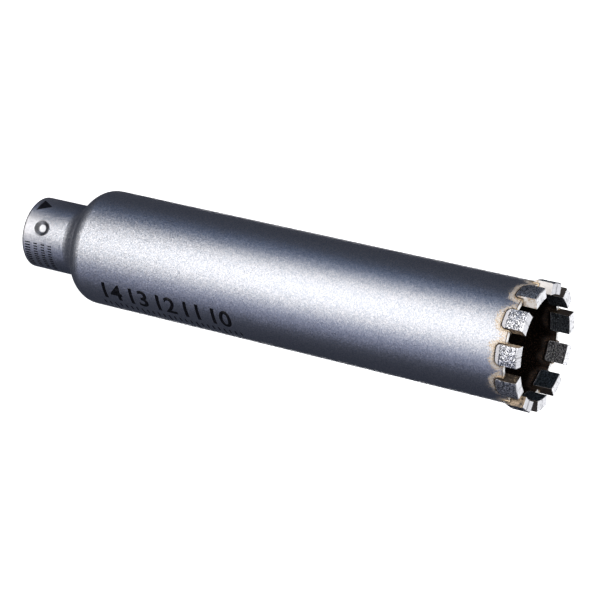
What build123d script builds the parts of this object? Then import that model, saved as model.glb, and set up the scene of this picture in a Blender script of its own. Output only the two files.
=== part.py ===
from build123d import *
import os
from math import acos, cos, sin

os.makedirs("parts", exist_ok=True)

# Diamond core bit for dry drilling, standing on the rear face of its neck with the crown up.
# Lengths are in millimetres, angles in degrees, and +Z runs from the neck to the crown.

# Barrel, swaged from one piece of steel tube
overall_length = 178.0
tube_diameter = 36.0
tube_wall = 1.4
neck_diameter = 22.4
neck_bore_diameter = 18.0
shoulder_height = 26.7
shoulder_radius = 6.2
neck_blend_radius = 6.0
bore_blend_radius = 7.4
neck_edge_break = 0.3

# Drive lugs, pressed into the neck from outside
lug_count = 3
lug_start_angle = -110.0
lug_height = 6.9
lug_rise = 1.0
lug_base_diameter = 5.6
lug_tip_diameter = 3.8
lug_tip_round = 0.5
dimple_mouth_diameter = 5.8
dimple_floor_diameter = 2.4
dimple_depth = 0.8
dimple_floor_round = 0.3
dimple_mouth_round = 0.5

# Crown of diamond segments, each one a saddle over the end of the tube
segment_count = 11
segment_start_angle = -90.0
segment_width = 6.0
segment_height = 4.4
segment_proud_outside = 1.0
segment_proud_inside = 1.0
leg_length_outside = 2.5
leg_length_inside = 2.3
leg_ramp_outside = 1.8
leg_ramp_inside = 0.7
leg_lip = 0.2
leg_corner_radius = 1.6
front_edge_break = 0.3
front_groove_width = 0.5
front_groove_depth = 0.25

# Braze that fills the gap under each saddle and borders it
braze_film = 0.1
braze_border = 0.5

tube_radius = tube_diameter / 2
bore_radius = tube_radius - tube_wall
neck_radius = neck_diameter / 2
neck_bore_radius = neck_bore_diameter / 2
rim_height = overall_length - segment_height


def shoulder_curve(small_radius, large_radius, blend_radius, round_radius, top):
    """Two tangent arcs that widen a tube: a hollow blend first, then a round that ends at top."""
    reach = blend_radius + round_radius
    turn = acos((reach - large_radius + small_radius) / reach)
    start = (small_radius, top - reach * sin(turn))
    meet = (start[0] + blend_radius * (1 - cos(turn)), start[1] + blend_radius * sin(turn))
    blend = TangentArc(start, meet, tangent=(0, 1))
    round_over = TangentArc(meet, (large_radius, top), tangent=(sin(turn), cos(turn)))
    return start, blend, round_over


def swaged_tube():
    """The hollow turned form of the barrel, with the edges of its rear face broken."""
    inner_round = shoulder_radius - tube_wall
    with BuildPart() as body:
        with BuildSketch(Plane.XZ):
            with BuildLine():
                neck_end, _, _ = shoulder_curve(
                    neck_radius, tube_radius, neck_blend_radius, shoulder_radius, shoulder_height)
                socket_end, _, _ = shoulder_curve(
                    neck_bore_radius, bore_radius, bore_blend_radius, inner_round, shoulder_height)
                Polyline(neck_end, (neck_radius, 0), (neck_bore_radius, 0), socket_end)
                Polyline((tube_radius, shoulder_height), (tube_radius, rim_height),
                         (bore_radius, rim_height), (bore_radius, shoulder_height))
            make_face()
        revolve(axis=Axis.Z)
        rear_edges = body.faces().sort_by(Axis.Z)[0].edges()
        chamfer(rear_edges, length=neck_edge_break)
    return body.part


def lug_places():
    """One place per lug on the axis of the neck, with local +Z pointing straight out of it."""
    spacing = 360 / lug_count
    angles = [lug_start_angle + spacing * index for index in range(lug_count)]
    return [Pos(0, 0, lug_height) * Rot(0, 0, angle) * Rot(0, 90, 0) for angle in angles]


def blunt_cone(tip_diameter, wide_diameter, tip_radius_out, height, tip_round):
    """A cone on the local Z axis that widens outwards, with its small end rounded."""
    cone = Cone(tip_diameter / 2, wide_diameter / 2, height, align=(Align.CENTER, Align.CENTER, Align.MIN))
    tip_edge = cone.edges().group_by(Axis.Z)[0]
    return Pos(0, 0, tip_radius_out) * fillet(tip_edge, tip_round)


def lug():
    """The back of one pressed dimple, standing into the socket and rooted in the wall."""
    flare = (lug_base_diameter - lug_tip_diameter) / lug_rise
    root = (neck_radius - neck_bore_radius) / 4
    return blunt_cone(lug_tip_diameter, lug_base_diameter + flare * root,
                      neck_bore_radius - lug_rise, lug_rise + root, lug_tip_round)


def dimple():
    """The tool that presses one dimple, longer than the dimple is deep."""
    flare = (dimple_mouth_diameter - dimple_floor_diameter) / dimple_depth
    return blunt_cone(dimple_floor_diameter, dimple_mouth_diameter + flare * dimple_depth,
                      neck_radius - dimple_depth, 2 * dimple_depth, dimple_floor_round)


def barrel():
    """Tube, shoulder and neck in one piece, with the lugs pressed in."""
    body = swaged_tube()
    for place in lug_places():
        body += place * lug()
    for place in lug_places():
        tool = place * dimple()
        pressed = body - tool
        body = fillet(new_edges(body, tool, combined=pressed), dimple_mouth_round)
    return body


def saddle(points, plan):
    """A closed section of (radius, height) points swept round the axis and cut to a plan, on +X."""
    pitch = 360 / segment_count
    outline = Plane.XZ * make_face(Polyline(*points, close=True))
    ring = Rot(0, 0, -pitch / 2) * revolve(outline, Axis.Z, revolution_arc=pitch)
    return ring & plan


def plan_outline(width, back, corner_radius):
    """Block seen along the radius: the back corners are rounded and the front has a fine groove."""
    top = overall_length + front_groove_depth
    corners = [(-width / 2, back), (width / 2, back), (width / 2, top),
               (front_groove_width, top), (0, overall_length - front_groove_depth),
               (-front_groove_width, top), (-width / 2, top)]
    plan = make_face(Polyline(*corners, close=True))
    back_corners = plan.vertices().group_by(Axis.Y)[0]
    plan = fillet(back_corners, corner_radius)
    return extrude(Plane.YZ * plan, tube_diameter)


def segment():
    """One diamond segment with parallel sides, centred on +X."""
    outer = tube_radius + segment_proud_outside
    inner = bore_radius - segment_proud_inside
    seat_outer = tube_radius + braze_film
    seat_inner = bore_radius - braze_film
    seat_height = rim_height + braze_film
    back_outside = rim_height - leg_length_outside
    back_inside = rim_height - leg_length_inside
    section = [
        (seat_outer, back_outside), (seat_outer + leg_lip, back_outside),
        (outer, back_outside + leg_ramp_outside), (outer, overall_length - front_edge_break),
        (outer - front_edge_break, overall_length), (inner, overall_length),
        (inner, back_inside + leg_ramp_inside), (seat_inner - leg_lip, back_inside),
        (seat_inner, back_inside), (seat_inner, seat_height), (seat_outer, seat_height),
    ]
    plan = plan_outline(segment_width, min(back_outside, back_inside), leg_corner_radius)
    return saddle(section, plan)


def braze(held_segment):
    """The braze under one segment: a thin saddle on the tube's end, with a border all round."""
    thickness = braze_film + leg_lip
    back_outside = rim_height - leg_length_outside
    back_inside = rim_height - leg_length_inside
    section = [
        (tube_radius, back_outside - braze_border), (tube_radius + braze_film, back_outside - braze_border),
        (tube_radius + thickness, back_outside), (tube_radius + thickness, rim_height + thickness),
        (bore_radius - thickness, rim_height + thickness), (bore_radius - thickness, back_inside),
        (bore_radius - braze_film, back_inside - braze_border), (bore_radius, back_inside - braze_border),
        (bore_radius, rim_height), (tube_radius, rim_height),
    ]
    plan = plan_outline(segment_width + 2 * braze_border, min(back_outside, back_inside) - braze_border,
                        leg_corner_radius + braze_border)
    return saddle(section, plan) - held_segment


def build_nodes():
    """Every piece of the tool under its own name."""
    nodes = {"barrel": barrel()}
    master = segment()
    joint = braze(master)
    for index in range(segment_count):
        turned = Rot(0, 0, segment_start_angle + 360 / segment_count * index)
        nodes[f"segment_{index + 1:02d}"] = turned * master
        nodes[f"braze_{index + 1:02d}"] = turned * joint
    return nodes


for name, piece in build_nodes().items():
    export_step(piece, f"parts/{name}.step")
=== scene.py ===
import math

import bmesh
import bpy
from mathutils import Matrix, Quaternion, Vector, noise


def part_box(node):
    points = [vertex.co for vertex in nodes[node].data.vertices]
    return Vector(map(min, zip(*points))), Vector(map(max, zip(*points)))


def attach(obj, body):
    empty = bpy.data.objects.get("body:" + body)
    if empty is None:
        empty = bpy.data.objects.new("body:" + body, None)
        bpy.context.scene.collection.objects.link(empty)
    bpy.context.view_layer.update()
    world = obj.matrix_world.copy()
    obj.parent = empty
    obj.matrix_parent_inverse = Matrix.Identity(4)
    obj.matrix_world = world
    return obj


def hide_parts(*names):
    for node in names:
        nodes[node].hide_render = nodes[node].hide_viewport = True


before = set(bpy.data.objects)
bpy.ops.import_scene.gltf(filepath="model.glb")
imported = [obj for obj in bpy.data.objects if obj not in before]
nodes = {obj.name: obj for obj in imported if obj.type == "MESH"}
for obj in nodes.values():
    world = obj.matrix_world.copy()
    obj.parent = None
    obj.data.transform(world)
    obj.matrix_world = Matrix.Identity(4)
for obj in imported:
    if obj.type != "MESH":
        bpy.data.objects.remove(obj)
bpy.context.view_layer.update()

scene = bpy.context.scene

# Barrel
# One steel tube, swaged at one end into a domed shoulder and a narrow neck, and sprayed with silver
# metallic paint. Brazing heat has tinted the paint at the crown, bared the rim and burnt the inside.
# The neck's end and its dimples' floors carry painted highlights, the dimples sit in rings of
# painted shade, and the neck is darker along its end.
MM = 0.001
tube_radius = 18.0 * MM
neck_radius = 11.2 * MM
rim_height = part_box("barrel")[1][2]
crown_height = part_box("segment_01")[1][2]
segment_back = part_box("segment_01")[0][2]
segment_count = 11
first_segment_angle = math.radians(-90.0)
segment_width = 6.0 * MM
leg_corner = 1.6 * MM

# The paint: metal flakes with a soft mottle among them
flake_size = 0.28 * MM
flake_tilt = 0.10
loose_flake_tilt = 0.1
flake_share = 0.85
mottle_size = 0.9 * MM
paint_roughness = 0.40
PAINT_DEEP = (0.43, 0.46, 0.51, 1)
PAINT_PALE = (0.715, 0.695, 0.705, 1)

# The heat tint: an uneven halo round each segment, gold in patches, with scorched spots close in
halo_reach = 2.5 * MM
halo_fade = 1.3 * MM
halo_wobble = 2.6 * MM
halo_speckle = 5.6 * MM
wobble_size = 3.4 * MM
speckle_size = 0.42 * MM
gold_strength = 0.8
scorch_reach = 1.5 * MM
scorch_full = 0.6 * MM
# A darker band along the rim's edge, and how dark it is
rim_dark_band = 0.4 * MM
rim_dark_strength = 0.9
heated_roughness = 0.52
heated_metal = 0.4
HEAT_BEIGE = (1.0, 0.91, 0.80, 1)
HEAT_GOLD = (0.64, 0.47, 0.30, 1)
HEAT_BROWN = (0.16, 0.095, 0.05, 1)

# The neck: three pressed dimples with painted highlights on their floors and rings of painted
# shade round them, a painted highlight towards its end, and a darker band along that end
dimple_count = 3
dimple_height = 6.75 * MM
dimple_angle = math.radians(-110.0)
# The painted highlight on each dimple's floor, and the ring of painted shade round the dimple
dimple_highlight_reach = 1.6 * MM
dimple_highlight_full = 0.8 * MM
ring_starts, ring_full, ring_fades, ring_ends = 1.1 * MM, 1.5 * MM, 2.4 * MM, 2.8 * MM
# How far the darker band along the neck's end reaches, and how dark it and the rings' painted shade are
neck_dark_band = 0.9 * MM
darkening_strength = 0.8
# The painted highlight towards the neck's end: where it starts, and how strong it is
neck_highlight_height = 11.0 * MM
neck_highlight_strength = 0.7
# The neck's colours: the painted shade and darker band, the dimples' painted highlight, and the end's painted
# highlight
DARKENED_GREY = (0.11, 0.11, 0.115, 1)
DIMPLE_HIGHLIGHT = (0.72, 0.72, 0.73, 1)
NECK_HIGHLIGHT = (0.86, 0.84, 0.85, 1)

# The unpainted steel: bare on the rim, and burnt inside, with rust that thins out below the rim
bare_band = 0.2 * MM
rust_reach = 22.0 * MM
rust_full = 4.0 * MM
BARE_STEEL = (0.80, 0.79, 0.78, 1)
BURNT_STEEL = (0.022, 0.017, 0.015, 1)
RUSTY_STEEL = (0.15, 0.085, 0.055, 1)


def link(tree, source, target):
    tree.links.new(source, target)


def maths(tree, operation, first, second=0.0, third=0.0, clamp=False):
    """A Math node whose inputs are numbers or sockets, and its output."""
    node = tree.nodes.new("ShaderNodeMath")
    node.operation = operation
    node.use_clamp = clamp
    for socket, value in zip(node.inputs, (first, second, third)):
        if isinstance(value, (int, float)):
            socket.default_value = value
        else:
            link(tree, value, socket)
    return node.outputs[0]


def vector_maths(tree, operation, first, second=None):
    """A Vector Math node of one or two vectors; the second may be three numbers."""
    node = tree.nodes.new("ShaderNodeVectorMath")
    node.operation = operation
    link(tree, first, node.inputs[0])
    if isinstance(second, tuple):
        node.inputs[1].default_value = second
    elif second is not None:
        link(tree, second, node.inputs[1])
    return node


def ease(tree, value, low, high):
    """0 to 1 as value goes from low to high, with soft ends."""
    node = tree.nodes.new("ShaderNodeMapRange")
    node.interpolation_type = "SMOOTHSTEP"
    node.inputs["From Min"].default_value = low
    node.inputs["From Max"].default_value = high
    link(tree, value, node.inputs["Value"])
    return node.outputs["Result"]


def swing(tree, amount, size):
    """An amount from 0 to 1 turned into as much up as down, size from end to end."""
    return maths(tree, "MULTIPLY_ADD", amount, size, -size / 2)


def length_of(tree, first, second):
    """How long two parts at right angles are together."""
    squares = maths(tree, "ADD", maths(tree, "MULTIPLY", first, first),
                    maths(tree, "MULTIPLY", second, second))
    return maths(tree, "SQRT", squares)


def mix_colour(tree, factor, first, second):
    """From the first colour to the second; each is four numbers or a socket."""
    node = tree.nodes.new("ShaderNodeMix")
    node.data_type = "RGBA"
    inputs = [socket for socket in node.inputs if socket.type == "RGBA"]
    link(tree, factor, node.inputs["Factor"])
    for socket, value in zip(inputs, (first, second)):
        if isinstance(value, tuple):
            socket.default_value = value
        else:
            link(tree, value, socket)
    return [socket for socket in node.outputs if socket.type == "RGBA"][0]


def new_group(name, inputs, outputs):
    """An empty node group with float or vector sockets, and its input and output nodes."""
    tree = bpy.data.node_groups.new(name, "ShaderNodeTree")
    for label, value in inputs.items():
        kind = "NodeSocketVector" if value is None else "NodeSocketFloat"
        socket = tree.interface.new_socket(name=label, in_out="INPUT", socket_type=kind)
        if value is not None:
            socket.default_value = value
    for label, kind in outputs.items():
        tree.interface.new_socket(name=label, in_out="OUTPUT", socket_type=kind)
    return tree, tree.nodes.new("NodeGroupInput"), tree.nodes.new("NodeGroupOutput")


def deal_again(tree, number, factor):
    """A second number from 0 to 1 for each flake, which has nothing to do with its first."""
    return maths(tree, "FRACT", maths(tree, "MULTIPLY", number, factor))


def make_flakes():
    """Small flat flakes, each with its own shade and tilt; a few lie far more loosely than the rest."""
    inputs = {"Vector": None, "Normal": None, "Flake Size": 0.3 * MM, "Tilt": 0.1, "Loose Tilt": 0.0}
    outputs = {"Shade": "NodeSocketFloat", "Normal": "NodeSocketVector"}
    tree, given, out = new_group("metal flakes", inputs, outputs)
    cells = tree.nodes.new("ShaderNodeTexVoronoi")
    link(tree, given.outputs["Vector"], cells.inputs["Vector"])
    link(tree, maths(tree, "DIVIDE", 1.0, given.outputs["Flake Size"]), cells.inputs["Scale"])
    split = tree.nodes.new("ShaderNodeSeparateColor")
    link(tree, cells.outputs["Color"], split.inputs["Color"])
    looseness = maths(tree, "POWER", deal_again(tree, split.outputs[1], 17.0), 4.0)
    extra_tilt = maths(tree, "MULTIPLY", looseness, given.outputs["Loose Tilt"])
    centred = vector_maths(tree, "SUBTRACT", cells.outputs["Color"], (0.5, 0.5, 0.5))
    tilt = vector_maths(tree, "SCALE", centred.outputs[0])
    link(tree, maths(tree, "ADD", given.outputs["Tilt"], extra_tilt), tilt.inputs["Scale"])
    tilted = vector_maths(tree, "ADD", given.outputs["Normal"], tilt.outputs[0])
    unit = vector_maths(tree, "NORMALIZE", tilted.outputs[0])
    link(tree, deal_again(tree, split.outputs[0], 23.0), out.inputs["Shade"])
    link(tree, unit.outputs[0], out.inputs["Normal"])
    return tree


def make_patches():
    """Soft uneven patches, from 0 to 1 with a mean of a half."""
    inputs = {"Vector": None, "Patch Size": 2.0 * MM, "Detail": 2.0}
    tree, given, out = new_group("soft patches", inputs, {"Amount": "NodeSocketFloat"})
    patches = tree.nodes.new("ShaderNodeTexNoise")
    link(tree, given.outputs["Vector"], patches.inputs["Vector"])
    link(tree, maths(tree, "DIVIDE", 1.0, given.outputs["Patch Size"]), patches.inputs["Scale"])
    link(tree, given.outputs["Detail"], patches.inputs["Detail"])
    link(tree, patches.outputs["Fac"], out.inputs["Amount"])
    return tree


metal_flakes = make_flakes()
soft_patches = make_patches()


def place_group(tree, group, values):
    """A group in a material, its inputs given as numbers or sockets."""
    node = tree.nodes.new("ShaderNodeGroup")
    node.node_tree = group
    for label, value in values.items():
        if isinstance(value, (int, float)):
            node.inputs[label].default_value = value
        else:
            link(tree, value, node.inputs[label])
    return node


def place_flakes(tree, position, size, tilt, loose_tilt):
    """Metal flakes on a material's own surface."""
    surface = tree.nodes.new("ShaderNodeNewGeometry")
    return place_group(tree, metal_flakes, {
        "Vector": position, "Normal": surface.outputs["Normal"],
        "Flake Size": size, "Tilt": tilt, "Loose Tilt": loose_tilt})


def place_patches(tree, position, size, detail):
    """How much of a soft patch lies at each point, from 0 to 1."""
    values = {"Vector": position, "Patch Size": size, "Detail": detail}
    return place_group(tree, soft_patches, values).outputs["Amount"]


def new_material(name, roughness, metallic):
    """A material with its node tree and its shader."""
    material = bpy.data.materials.new(name)
    material.use_nodes = True
    shader = material.node_tree.nodes["Principled BSDF"]
    shader.inputs["Roughness"].default_value = roughness
    shader.inputs["Metallic"].default_value = metallic
    return material, material.node_tree, shader


def object_position(tree):
    """The Object coordinates, and their three parts."""
    coordinates = tree.nodes.new("ShaderNodeTexCoord")
    split = tree.nodes.new("ShaderNodeSeparateXYZ")
    link(tree, coordinates.outputs["Object"], split.inputs["Vector"])
    return (coordinates.outputs["Object"], *split.outputs)


def round_from_nearest(tree, x, y, count, first_angle, radius):
    """The way round the axis from the nearest of some evenly spaced places, at one radius."""
    pitch = 2 * math.pi / count
    turned = maths(tree, "ADD", maths(tree, "ARCTAN2", y, x), 4 * math.pi + pitch / 2 - first_angle)
    within = maths(tree, "SUBTRACT", maths(tree, "FLOORED_MODULO", turned, pitch), pitch / 2)
    return maths(tree, "MULTIPLY", maths(tree, "ABSOLUTE", within), radius)


def away_from_segments(tree, x, y, z):
    """How far a point of the tube lies outside the leg of the nearest segment."""
    across = round_from_nearest(tree, x, y, segment_count, first_segment_angle, tube_radius)
    past_side = maths(tree, "SUBTRACT", across, segment_width / 2 - leg_corner)
    past_back = maths(tree, "SUBTRACT", segment_back + leg_corner, z)
    from_corner = length_of(tree, maths(tree, "MAXIMUM", past_side, 0.0),
                            maths(tree, "MAXIMUM", past_back, 0.0))
    return maths(tree, "SUBTRACT", from_corner, leg_corner)


def outward_share(tree, x, y):
    """How far the surface faces away from the tool's axis, from -1 to 1."""
    radial = tree.nodes.new("ShaderNodeCombineXYZ")
    link(tree, x, radial.inputs[0])
    link(tree, y, radial.inputs[1])
    unit = vector_maths(tree, "NORMALIZE", radial.outputs[0])
    surface = tree.nodes.new("ShaderNodeNewGeometry")
    return vector_maths(tree, "DOT_PRODUCT", surface.outputs["Normal"], unit.outputs[0]).outputs["Value"]


def heat_paint(tree, position, x, y, z, speckle, paint):
    """The paint tinted and scorched round the segments, darker along the rim's edge, and the halo of the
    tint.
    """
    wobble = place_patches(tree, position, wobble_size, 1.0)
    gap = away_from_segments(tree, x, y, z)
    reach = maths(tree, "ADD", gap, swing(tree, wobble, halo_wobble))
    reach = maths(tree, "ADD", reach, swing(tree, speckle, halo_speckle))
    halo = ease(tree, reach, halo_reach, halo_reach - halo_fade)
    golden = maths(tree, "MULTIPLY", ease(tree, speckle, 0.56, 0.38), gold_strength)
    tinted = mix_colour(tree, halo, paint, mix_colour(tree, golden, HEAT_BEIGE, HEAT_GOLD))
    spots = ease(tree, speckle, 0.52, 0.60)
    scorch_and_rim_dark = maths(tree, "MULTIPLY", ease(tree, gap, scorch_reach, scorch_full), spots)
    # Darker along the rim's edge
    rim_darkening = ease(tree, z, rim_height - rim_dark_band, rim_height - rim_dark_band / 2)
    scorch_and_rim_dark = maths(tree, "MAXIMUM", scorch_and_rim_dark, maths(tree, "MULTIPLY", rim_darkening, rim_dark_strength))
    return mix_colour(tree, scorch_and_rim_dark, tinted, HEAT_BROWN), halo


def wear_neck(tree, x, y, z, paint):
    """A painted highlight towards the neck's end and on the dimples' floors, painted shade in a ring round
    each dimple, and a darker band along the neck's end.
    """
    # A painted highlight that grows towards the neck's end
    neck_highlight = maths(tree, "MULTIPLY", ease(tree, z, neck_highlight_height, 0.0), neck_highlight_strength)
    highlit_paint = mix_colour(tree, neck_highlight, paint, NECK_HIGHLIGHT)
    beside = round_from_nearest(tree, x, y, dimple_count, dimple_angle, neck_radius)
    from_dimple = length_of(tree, beside, maths(tree, "SUBTRACT", z, dimple_height))
    # A painted highlight on each dimple's floor
    dimple_highlight_share = ease(tree, from_dimple, dimple_highlight_reach, dimple_highlight_full)
    highlighted_paint = mix_colour(tree, dimple_highlight_share, highlit_paint, DIMPLE_HIGHLIGHT)
    # A ring of painted shade round each dimple
    shade_ring = maths(tree, "MULTIPLY", ease(tree, from_dimple, ring_starts, ring_full),
                 ease(tree, from_dimple, ring_ends, ring_fades))
    # The rings' painted shade, and a darker band along the neck's end
    darkening = maths(tree, "MAXIMUM", shade_ring, ease(tree, z, neck_dark_band, neck_dark_band / 2))
    return mix_colour(tree, maths(tree, "MULTIPLY", darkening, darkening_strength), highlighted_paint, DARKENED_GREY)


def burn_steel(tree, z, outward, speckle):
    """The steel that has no paint: the rim's end, and the inside."""
    near_rim = ease(tree, z, rim_height - rust_reach, rim_height - rust_full)
    rust = maths(tree, "MULTIPLY", ease(tree, speckle, 0.47, 0.66), near_rim)
    sooty = mix_colour(tree, rust, BURNT_STEEL, RUSTY_STEEL)
    at_end = ease(tree, z, rim_height - bare_band, rim_height - bare_band / 2)
    on_rim = maths(tree, "MULTIPLY", ease(tree, outward, -0.12, -0.04), at_end)
    return mix_colour(tree, on_rim, sooty, BARE_STEEL)


def make_barrel_paint():
    """Silver paint outside, and burnt steel on the rim's end and wherever the tube faces inward."""
    material, tree, shader = new_material("silver barrel paint", paint_roughness, 1.0)
    position, x, y, z = object_position(tree)
    flakes = place_flakes(tree, position, flake_size, flake_tilt, loose_flake_tilt)
    mottle = place_patches(tree, position, mottle_size, 2.0)
    speckle = place_patches(tree, position, speckle_size, 3.0)
    shade = maths(tree, "ADD", maths(tree, "MULTIPLY", flakes.outputs["Shade"], flake_share),
                  maths(tree, "MULTIPLY", mottle, 1.0 - flake_share))
    paint = mix_colour(tree, shade, PAINT_DEEP, PAINT_PALE)
    heated, halo = heat_paint(tree, position, x, y, z, speckle, paint)
    # Painted highlights and shade on the neck
    wear_and_light = wear_neck(tree, x, y, z, heated)
    outward = outward_share(tree, x, y)
    steel = burn_steel(tree, z, outward, speckle)
    painted = ease(tree, outward, 0.05, 0.15)
    link(tree, mix_colour(tree, painted, steel, wear_and_light), shader.inputs["Base Color"])
    roughness = maths(tree, "MULTIPLY_ADD", halo, heated_roughness - paint_roughness, paint_roughness)
    link(tree, roughness, shader.inputs["Roughness"])
    link(tree, maths(tree, "MULTIPLY_ADD", halo, heated_metal - 1.0, 1.0), shader.inputs["Metallic"])
    link(tree, flakes.outputs["Normal"], shader.inputs["Normal"])
    return material


nodes["barrel"].data.materials.clear()
nodes["barrel"].data.materials.append(make_barrel_paint())

# Braze
# Silver solder, run in at red heat: a thin film under each saddle, squeezed out as a low border
# round it. Its skin is dull gold, and nearly black inside the tube and where flux has burnt on
# beside the segment, where the dark line also carries painted contact shadow.
braze_patch_size = 0.7 * MM
braze_skin_depth = 0.15 * MM
seam_reach = 0.36 * MM
seam_full = 0.22 * MM
# How dark the seam is: burnt flux, with painted contact shadow
seam_shadow_and_flux = 0.95
burnt_inside_depth = 0.6 * MM
burnt_inside_full = 1.0 * MM
burnt_inside_strength = 0.97
BRAZE_GOLD = (0.78, 0.62, 0.42, 1)
BRAZE_DARK = (0.055, 0.038, 0.028, 1)


def add_bump(tree, shader, height, distance):
    """Raises a shader's surface by a height from 0 to 1 times a distance."""
    bump = tree.nodes.new("ShaderNodeBump")
    bump.inputs["Distance"].default_value = distance
    link(tree, height, bump.inputs["Height"])
    link(tree, bump.outputs["Normal"], shader.inputs["Normal"])
    return bump


def make_braze_metal():
    """Dull gold solder, burnt in patches, along the seam and inside the tube; the seam's dark line is part
    painted contact shadow.
    """
    material, tree, shader = new_material("gold braze", 0.45, 0.8)
    position, x, y, z = object_position(tree)
    skin = place_patches(tree, position, braze_patch_size, 3.0)
    # The seam beside the segment: burnt flux, with painted contact shadow
    seam = ease(tree, away_from_segments(tree, x, y, z), seam_reach, seam_full)
    burnt_and_seam_shadow = maths(tree, "ADD", maths(tree, "MULTIPLY", seam, seam_shadow_and_flux),
                  ease(tree, skin, 0.50, 0.66), clamp=True)
    inside = ease(tree, length_of(tree, x, y),
                  tube_radius - burnt_inside_depth, tube_radius - burnt_inside_full)
    burnt_and_seam_shadow = maths(tree, "MAXIMUM", burnt_and_seam_shadow, maths(tree, "MULTIPLY", inside, burnt_inside_strength))
    link(tree, mix_colour(tree, burnt_and_seam_shadow, BRAZE_GOLD, BRAZE_DARK), shader.inputs["Base Color"])
    add_bump(tree, shader, skin, braze_skin_depth)
    return material


braze_metal = make_braze_metal()
for number in range(1, segment_count + 1):
    film = nodes[f"braze_{number:02d}"]
    film.data.materials.clear()
    film.data.materials.append(braze_metal)

# Segments
# Eleven blocks pressed and sintered from metal powder and diamond grit. Each straddles the rim:
# pitted outside and inside, ground bright in front, with a smooth ramp at the back of each leg.
# Solder and flux have crept up the sides, and stain them from cream through tan to brown.
voxel = 0.1 * MM
remesh_scale = 100.0

# Where the faces end: the ramp of the inner leg, the strip behind the front face, and that face
inner_ramp_end = segment_back + 0.9 * MM
ramp_slope = 0.1 * MM
smooth_strip = 0.2 * MM
strip_slope = 0.15 * MM
front_depth = 0.5 * MM
front_full = 0.3 * MM

# What wears them: lost grit, uneven powder, lumps of solder, and streaks and scratches from use
grit_size = 0.36 * MM
pit_radius = 0.18 * MM
pit_depth = 0.11 * MM
matrix_wear, matrix_wear_size = 0.03 * MM, 0.25 * MM
side_lump, side_lump_size = 0.035 * MM, 0.8 * MM
ramp_wear, ramp_wear_size = 0.012 * MM, 0.5 * MM
streak_width = 0.24 * MM
streak_depth = 0.03 * MM
scratch_depth = 0.02 * MM
groove_reach = 0.35 * MM
# How far the front groove's painted shade reaches, and where it is full
groove_shadow_reach = 0.45 * MM
groove_shadow_full = 0.1 * MM
smudge_size = 0.9 * MM

# How dark each kind of mark is beside a pit, which is 1; the groove's darkness is painted shade
groove_painted_shade = 0.3
smudge_shade = 0.3
streak_shade = 0.24
scratch_shade = 0.36

# How dark the stain is on the side of each segment that faces the one before, and the one after
stains = ((0.5, 0.6), (1.0, 0.4), (0.75, 0.3), (1.2, 0.5), (1.3, 0.5), (0.8, 0.8),
          (0.9, 1.3), (0.8, 1.3), (0.5, 0.0), (0.45, 0.22), (0.3, 0.74))

# Painted light and shade on the outer and inner faces of each segment, from shaded blue-grey to lit white
face_lights = (0.85, 0.8, 0.1, 0.0, 0.0, 1.0, 0.25, 0.15, 0.2, 0.6, 0.9)

# How brightly the front face of each segment is ground
grinds = (0.45, 0.6, 0.35, 0.6, 0.8, 0.85, 0.8, 0.7, 0.35, 0.75, 0.5)

# How far each outer leg has kept its smooth ramp, in millimetres from its back
ramps = (1.25, 0.1, 0.4, 1.2, 0.9, 1.2, 1.1, 0.7, 0.4, 0.1, 1.3)

# The finish: bright specks and facets of metal, and a fine and a broad unevenness in the stain
facet_size = 0.27 * MM
facet_tilt = 0.42
speck_strength = 0.85
fine_size = 0.3 * MM
fine_depth = 0.02 * MM
broad_size = 1.1 * MM
root_top = rim_height + 0.6 * MM
root_bottom = rim_height - 0.8 * MM
blotch_swing = 1.1
grain_swing = 0.7
root_stain = 0.3
sintered_roughness = 0.44
worked_roughness = 0.32
polished_metal = 0.9
MATRIX_SHADED = (0.19, 0.24, 0.30, 1)
MATRIX = (0.97, 0.945, 0.95, 1)
MATRIX_FRONT_DULL = (0.46, 0.46, 0.49, 1)
MATRIX_FRONT = (0.92, 0.92, 0.94, 1)
MATRIX_RAMP = (1.0, 0.96, 0.96, 1)
PIT = (0.035, 0.045, 0.06, 1)
STAIN_CREAM = (0.97, 0.92, 0.88, 1)
STAIN_TAN = (0.55, 0.41, 0.27, 1)
STAIN_BURNT = (0.035, 0.026, 0.019, 1)


def even_copy(node, name):
    """A copy of a CAD node under a new name, merged and remeshed into small even faces."""
    merged = bpy.data.meshes.new(name)
    work = bmesh.new()
    work.from_mesh(node.data)
    bmesh.ops.remove_doubles(work, verts=work.verts, dist=0.001 * MM)
    bmesh.ops.scale(work, vec=Vector((1, 1, 1)) * remesh_scale, verts=work.verts)
    work.to_mesh(merged)
    work.free()
    piece = bpy.data.objects.new(name, merged)
    scene.collection.objects.link(piece)
    even = piece.modifiers.new("even faces", "REMESH")
    even.mode = "VOXEL"
    even.voxel_size = voxel * remesh_scale
    finished = piece.evaluated_get(bpy.context.evaluated_depsgraph_get())
    fine = bpy.data.meshes.new_from_object(finished)
    fine.transform(Matrix.Scale(1 / remesh_scale, 4))
    piece.modifiers.clear()
    piece.data = fine
    return piece


def step(value, low, high):
    """0 below low, 1 above high, and a straight slope between."""
    return min(1.0, max(0.0, (value - low) / (high - low)))


def pit_at(place):
    """How deep one point lies in a grit pit, from 0 to 1; half of the grit is still there."""
    distances, centres = noise.voronoi(place / grit_size)
    if noise.cell(centres[0] * 9.7) < 0.0:
        return 0.0
    return max(0.0, 1.0 - distances[0] * grit_size / pit_radius)


def unevenness(place, size):
    """Smooth ups and downs, from 0 to 2, with patches of one size."""
    return 1 + noise.noise(place / size)


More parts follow.
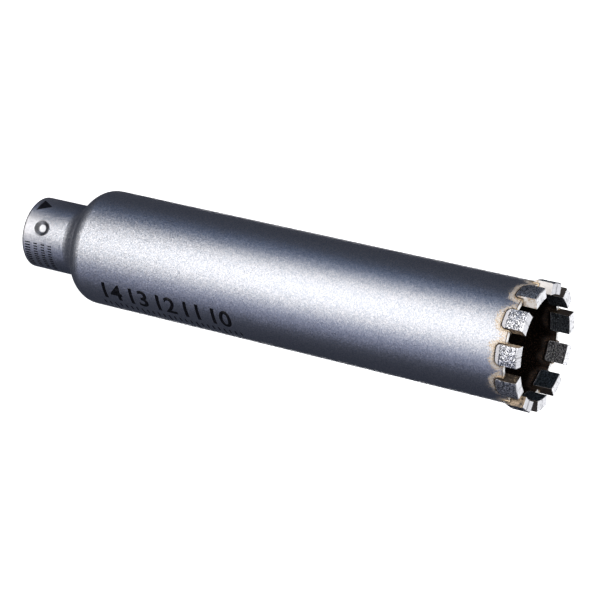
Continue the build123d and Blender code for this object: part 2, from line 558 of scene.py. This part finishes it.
def roughen(piece, number):
    """Pits, lumps, streaks and scratches a segment, and keeps its finishes and its painted light and shade as
    an attribute.
    """
    mesh = piece.data
    turn = first_segment_angle + (number - 1) * 2 * math.pi / segment_count
    across = Vector((-math.sin(turn), math.cos(turn), 0.0))
    face_light, grind, outer_ramp = face_lights[number - 1], grinds[number - 1], ramps[number - 1] * MM
    stain_before, stain_after = stains[number - 1]
    finish_and_light = mesh.color_attributes.new("finish_and_light", "FLOAT_COLOR", "POINT")
    moved = []
    for index, vertex in enumerate(mesh.vertices):
        place = vertex.co.copy()
        normal = vertex.normal.copy()
        outward = normal.dot(Vector((place.x, place.y, 0.0)).normalized())
        aside = place.dot(across)
        depth = crown_height - place.z

        # How far the point lies on a worked face outside or inside, on a side, and on the front
        ramp_end = segment_back + outer_ramp if outward > 0 else inner_ramp_end
        worked = step(depth, smooth_strip, smooth_strip + strip_slope)
        worked *= step(place.z, ramp_end - ramp_slope, ramp_end + ramp_slope) * step(abs(outward), 0.6, 0.8)
        side = step(1.0 - abs(outward) - abs(normal.z), 0.2, 0.5)
        front = step(normal.z, 0.5, 0.8) * step(depth, front_depth, front_full)

        # How far it sinks; the segment's number picks its own streaks and scratches
        pit = pit_at(place) * worked
        streak = noise.noise(Vector((aside / streak_width, number * 7.0, 0.0)))
        scratch = noise.noise(Vector((place.z / streak_width, number * 3.0, 5.0)))
        scratched = worked * step(scratch, 0.0, 0.3) if outward < 0 else 0.0
        sink = worked * matrix_wear * unevenness(place, matrix_wear_size) + pit * pit_depth
        sink += side * side_lump * unevenness(place, side_lump_size)
        sink += front * streak_depth * (1 + streak) + scratched * scratch_depth
        sink += (1 - max(worked, side, front)) * ramp_wear * unevenness(place, ramp_wear_size)

        # How dark it is, with painted shade in the front groove, and its painted light, how ground, or how
        # stained
        # Painted shade in the front face's groove, the less the brighter that face is ground
        groove_shadow = groove_painted_shade * step(abs(aside), groove_shadow_reach, groove_shadow_full) * (1 - grind)
        smudge = smudge_shade * step(noise.noise(place / smudge_size), 0.0, 0.4) * grind
        streaked = streak_shade * step(streak, 0.0, 0.4)
        dark = max(pit, scratched * scratch_shade, front * max(groove_shadow, smudge, streaked))
        stain = stain_after if aside > 0 else stain_before
        tone = side * stain + (1 - side) * (grind if front > 0.5 else face_light)
        finish_and_light.data[index].color = (side, dark, worked, tone)

        # The groove along the front face is the shallower, the brighter that face is ground
        if abs(aside) < groove_reach and normal.z > 0.3 and depth < groove_reach:
            place.z += depth * grind
        moved.append(place - normal * sink)
    for vertex, place in zip(mesh.vertices, moved):
        vertex.co = place
    for face in mesh.polygons:
        face.use_smooth = True


def make_segment_metal():
    """Bare metal on the worked and ground faces with painted light and shade per segment, and a stained coat
    on the sides, as roughen left them.
    """
    material, tree, shader = new_material("sintered segment", sintered_roughness, 0.0)
    position, _, _, z = object_position(tree)
    stored = tree.nodes.new("ShaderNodeVertexColor")
    stored.layer_name = "finish_and_light"
    tone = stored.outputs["Alpha"]
    split = tree.nodes.new("ShaderNodeSeparateColor")
    link(tree, stored.outputs["Color"], split.inputs["Color"])
    side, pit, worked = split.outputs
    fine = place_patches(tree, position, fine_size, 2.0)
    broad = place_patches(tree, position, broad_size, 3.0)
    facets = place_flakes(tree, position, facet_size, maths(tree, "MULTIPLY", worked, facet_tilt), 0.0)
    specks = maths(tree, "MULTIPLY", ease(tree, facets.outputs["Shade"], 0.66, 0.72), speck_strength)
    dark = maths(tree, "MAXIMUM", ease(tree, pit, 0.08, 0.40), maths(tree, "MULTIPLY", specks, worked))
    front = ease(tree, z, crown_height - front_depth, crown_height - front_full)
    # Painted shade to painted light on the outer and inner faces, one tone per segment
    wear_and_light = mix_colour(tree, tone, MATRIX_SHADED, MATRIX)
    ground = mix_colour(tree, tone, MATRIX_FRONT_DULL, MATRIX_FRONT)
    plain = mix_colour(tree, worked, mix_colour(tree, front, MATRIX_RAMP, ground), wear_and_light)
    body = mix_colour(tree, dark, plain, PIT)

    root = ease(tree, z, root_top, root_bottom)
    stain = maths(tree, "ADD", tone, swing(tree, broad, blotch_swing))
    stain = maths(tree, "ADD", stain, swing(tree, fine, grain_swing))
    stain = maths(tree, "ADD", stain, maths(tree, "MULTIPLY", root, root_stain))
    pale = mix_colour(tree, ease(tree, stain, 0.12, 0.5), STAIN_CREAM, STAIN_TAN)
    coat = mix_colour(tree, ease(tree, stain, 0.5, 1.0), pale, STAIN_BURNT)
    link(tree, mix_colour(tree, side, body, coat), shader.inputs["Base Color"])
    bared = maths(tree, "MULTIPLY", maths(tree, "SUBTRACT", 1.0, side), polished_metal)
    polished = maths(tree, "MAXIMUM", worked, front)
    link(tree, maths(tree, "MULTIPLY", polished, bared), shader.inputs["Metallic"])
    roughness = maths(tree, "MULTIPLY_ADD", worked, worked_roughness - sintered_roughness, sintered_roughness)
    link(tree, roughness, shader.inputs["Roughness"])
    bump = add_bump(tree, shader, fine, fine_depth)
    link(tree, facets.outputs["Normal"], bump.inputs["Normal"])
    return material


segment_metal = make_segment_metal()
for number in range(1, segment_count + 1):
    block = even_copy(nodes[f"segment_{number:02d}"], f"sintered_segment_{number:02d}")
    roughen(block, number)
    block.data.materials.append(segment_metal)
    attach(block, "root")
    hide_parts(f"segment_{number:02d}")

# Printed marks
# Black ink on the paint: a depth scale along the barrel, in centimetres from the cutting face,
# short rows of ticks round the neck, and a triangle that points from the neck to the crown.
CM = 10 * MM
ink_thickness = 0.02 * MM
ink_sink = 0.01 * MM
strip_width = 0.5 * MM
ink_wear_size = 0.35 * MM
INK = (0.004, 0.004, 0.006, 1)
INK_WORN = (0.03, 0.03, 0.036, 1)

# The depth scale: its numbers, the height of a capital in the font, and the row of ticks beside them
scale_middle = math.radians(-56.0)
depths = (14, 13, 12, 11, 10)
digit_height = 6.2 * MM
digit_boldness = 0.16 * MM
cap_share = 0.71
tick_row = -4.6 * MM
tick_step = 2.0 * MM
tick_width = 0.45 * MM
tick_length = 1.9 * MM
long_tick_length = 3.2 * MM
ticks_per_number = 5

# The neck's rows of ticks, each with its height and the length of its ticks in millimetres
neck_middle = math.radians(-60.0)
neck_rows = ((2.2, 2.0), (5.3, 1.4), (8.1, 1.4), (10.8, 1.4))
neck_tick_step = 0.9 * MM
neck_tick_width = 0.4 * MM

# The triangle
arrow_angle = math.radians(-152.0)
arrow_height = 3.6 * MM
arrow_radius = 3.0 * MM


def make_ink():
    """Flat black ink, worn thin in patches."""
    material, tree, shader = new_material("black ink", 0.5, 0.0)
    shader.inputs["Specular IOR Level"].default_value = 0.2
    position, *_ = object_position(tree)
    wear_and_light = ease(tree, place_patches(tree, position, ink_wear_size, 2.0), 0.55, 0.75)
    link(tree, mix_colour(tree, wear_and_light, INK, INK_WORN), shader.inputs["Base Color"])
    return material


def flat_number(text):
    """A number as flat faces about the origin, reading along +X."""
    curve = bpy.data.curves.new("number", "FONT")
    curve.body = text
    curve.size = digit_height / cap_share
    curve.align_x = "CENTER"
    curve.align_y = "CENTER"
    curve.resolution_u = 5
    curve.offset = digit_boldness
    holder = bpy.data.objects.new("number", curve)
    scene.collection.objects.link(holder)
    finished = holder.evaluated_get(bpy.context.evaluated_depsgraph_get())
    mesh = bpy.data.meshes.new_from_object(finished)
    bpy.data.objects.remove(holder)
    return mesh


def add_bar(marks, x, y, length, width):
    """A flat bar centred on (x, y), length along X and width along Y."""
    place = Matrix.Translation((x, y, 0)) @ Matrix.Diagonal((length / 2, width / 2, 1, 1))
    bmesh.ops.create_grid(marks, x_segments=1, y_segments=1, size=1, matrix=place)


def print_marks(marks, name, radius, middle_angle):
    """Bends flat marks round a cylinder and inks them: +X runs up the axis, +Y round it clockwise."""
    bmesh.ops.remove_doubles(marks, verts=marks.verts, dist=0.001 * MM)
    cut = min(vertex.co.y for vertex in marks.verts) + strip_width
    last = max(vertex.co.y for vertex in marks.verts)
    while cut < last:
        everything = marks.verts[:] + marks.edges[:] + marks.faces[:]
        bmesh.ops.bisect_plane(marks, geom=everything, plane_co=(0, cut, 0), plane_no=(0, 1, 0))
        cut += strip_width
    reach = radius - ink_sink
    for vertex in marks.verts:
        angle = middle_angle - vertex.co.y / radius
        vertex.co = Vector((reach * math.cos(angle), reach * math.sin(angle), vertex.co.x))
    marks.normal_update()
    turned_in = []
    for face in marks.faces:
        centre = face.calc_center_median()
        if face.normal.dot(Vector((centre.x, centre.y, 0.0))) < 0:
            turned_in.append(face)
    bmesh.ops.reverse_faces(marks, faces=turned_in)
    bmesh.ops.solidify(marks, geom=marks.faces[:], thickness=-(ink_thickness + ink_sink))
    bmesh.ops.recalc_face_normals(marks, faces=marks.faces)
    mesh = bpy.data.meshes.new(name)
    marks.to_mesh(mesh)
    marks.free()
    piece = bpy.data.objects.new(name, mesh)
    scene.collection.objects.link(piece)
    mesh.materials.append(black_ink)
    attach(piece, "root")


black_ink = make_ink()
scale_marks = bmesh.new()
for depth in depths:
    number_mesh = flat_number(str(depth))
    number_mesh.transform(Matrix.Translation((crown_height - depth * CM, 0, 0)))
    scale_marks.from_mesh(number_mesh)
for index in range(-2, 24):
    height = crown_height - depths[0] * CM + index * tick_step
    length = long_tick_length if index % ticks_per_number == 0 else tick_length
    add_bar(scale_marks, height, tick_row - length / 2, tick_width, length)
print_marks(scale_marks, "depth_scale", tube_radius, scale_middle)

neck_marks = bmesh.new()
for height, length in neck_rows:
    for index in range(-5, 6):
        add_bar(neck_marks, height * MM, index * neck_tick_step, length * MM, neck_tick_width)
print_marks(neck_marks, "neck_ticks", neck_radius, neck_middle)

arrow = bmesh.new()
arrow_place = Matrix.Translation((arrow_height, 0, 0)) @ Matrix.Rotation(math.radians(-90), 4, "Z")
bmesh.ops.create_circle(arrow, cap_ends=True, segments=3, radius=arrow_radius, matrix=arrow_place)
print_marks(arrow, "arrow", neck_radius, arrow_angle)

# Floor
# A plain pale sheet that the bit stands on. It glows as white as the backdrop, leaves no shadow,
# and doesn't show in the bit's polish.
FLOOR_PALE = (0.90, 0.90, 0.90, 1)
FLOOR_GLOW = (1, 1, 1, 1)
floor_mesh = bpy.data.meshes.new("floor")
sheet = bmesh.new()
bmesh.ops.create_grid(sheet, x_segments=1, y_segments=1, size=4.0)
sheet.to_mesh(floor_mesh)
sheet.free()
floor = bpy.data.objects.new("floor", floor_mesh)
scene.collection.objects.link(floor)
pale_floor, _, floor_shader = new_material("pale floor", 0.9, 0.0)
floor_shader.inputs["Base Color"].default_value = FLOOR_PALE
floor_shader.inputs["Specular IOR Level"].default_value = 0.0
floor_shader.inputs["Emission Color"].default_value = FLOOR_GLOW
floor_shader.inputs["Emission Strength"].default_value = 1.0
floor_mesh.materials.append(pale_floor)
floor.visible_glossy = False
floor.visible_shadow = False
floor.visible_diffuse = False

# Light
# A wide soft box, brightest along its middle, draws the band down the barrel, with a cool fill on
# each side of it. Weaker boxes light the crown's front faces, its inside and the bit's back, and a
# dim even light does the rest.
middle = Vector((0, 0, crown_height / 2))
dim_strength = 0.052
DIM_BLUE = (0.56, 0.66, 1.0, 1)
BOX_WHITE = (1.0, 1.0, 1.0, 1)
BOX_EDGE = (0.50, 0.70, 1.15, 1)


def fade_edges(lamp, softness):
    """Lets a box fade from its middle line to its two ends, and turn blue as it does."""
    lamp.use_nodes = True
    tree = lamp.node_tree
    emission = tree.nodes["Emission"]
    surface = tree.nodes.new("ShaderNodeNewGeometry")
    split = tree.nodes.new("ShaderNodeSeparateXYZ")
    link(tree, surface.outputs["Parametric"], split.inputs["Vector"])
    aside = swing(tree, split.outputs["X"], 1 / softness)
    steepness = maths(tree, "POWER", maths(tree, "ABSOLUTE", aside), 2.5)
    falloff = maths(tree, "EXPONENT", maths(tree, "MULTIPLY", steepness, -0.5))
    link(tree, falloff, emission.inputs["Strength"])
    white = ease(tree, falloff, 0.0, 0.5)
    link(tree, mix_colour(tree, white, BOX_EDGE, BOX_WHITE), emission.inputs["Color"])


def soft_box(name, azimuth, elevation, distance, width, height, power, colour=(1.0, 1.0, 1.0)):
    """An area light turned to the middle of the bit; azimuth 0 is -Y, and it grows towards +X."""
    around = math.radians(azimuth)
    rise = math.radians(elevation)
    way = Vector((math.sin(around) * math.cos(rise), -math.cos(around) * math.cos(rise), math.sin(rise)))
    lamp = bpy.data.lights.new(name, "AREA")
    lamp.shape = "RECTANGLE"
    lamp.size = width
    lamp.size_y = height
    lamp.energy = power
    lamp.color = colour
    holder = bpy.data.objects.new(name, lamp)
    scene.collection.objects.link(holder)
    holder.location = middle + distance * way
    holder.rotation_mode = "QUATERNION"
    holder.rotation_quaternion = way.to_track_quat("Z", "Y")
    return lamp


key = soft_box("key", azimuth=-21, elevation=-24.5, distance=0.8, width=2.2, height=0.5, power=9.0)
fade_edges(key, softness=0.222)
soft_box("low fill", azimuth=37, elevation=-24, distance=0.8, width=0.5, height=0.4, power=0.27,
         colour=(0.69, 0.75, 1.11))
soft_box("high fill", azimuth=-80, elevation=-24, distance=0.8, width=0.35, height=0.4, power=0.06,
         colour=(0.0, 0.4, 1.3))
soft_box("crown light", azimuth=165, elevation=35, distance=1.0, width=0.7, height=0.5, power=2.2)
soft_box("front light", azimuth=-32, elevation=56, distance=1.0, width=0.5, height=0.5, power=8.5)
soft_box("back light", azimuth=166, elevation=-22, distance=0.8, width=0.45, height=0.4, power=3.0)
world = bpy.data.worlds.new("studio")
world.use_nodes = True
studio = world.node_tree
dim_light = studio.nodes["Background"]
dim_light.inputs["Color"].default_value = DIM_BLUE
dim_light.inputs["Strength"].default_value = dim_strength
backdrop = studio.nodes.new("ShaderNodeBackground")
backdrop.inputs["Strength"].default_value = 1.0
seen = studio.nodes.new("ShaderNodeLightPath")
either = studio.nodes.new("ShaderNodeMixShader")
link(studio, seen.outputs["Is Camera Ray"], either.inputs["Fac"])
link(studio, dim_light.outputs[0], either.inputs[1])
link(studio, backdrop.outputs[0], either.inputs[2])
link(studio, either.outputs[0], studio.nodes["World Output"].inputs["Surface"])
scene.world = world
scene.view_settings.view_transform = "Standard"

# Camera
# A long lens well in front of the barrel's side, looking down, and rolled so that the bit lies
# across the picture with its crown at the right.
lens_data = bpy.data.cameras.new("camera")
lens_data.lens = 147.25
lens_data.sensor_width = 36.0
lens_data.clip_start = 0.01
camera = bpy.data.objects.new("camera", lens_data)
scene.collection.objects.link(camera)
camera.location = Vector((-0.162226, -0.620382, 0.452516))
look = Vector((0.22425, 0.845, -0.48548))
roll = math.radians(103.14)
camera.rotation_mode = "QUATERNION"
camera.rotation_quaternion = (-look).to_track_quat("Z", "Y") @ Quaternion((0, 0, 1), roll)
scene.camera = camera
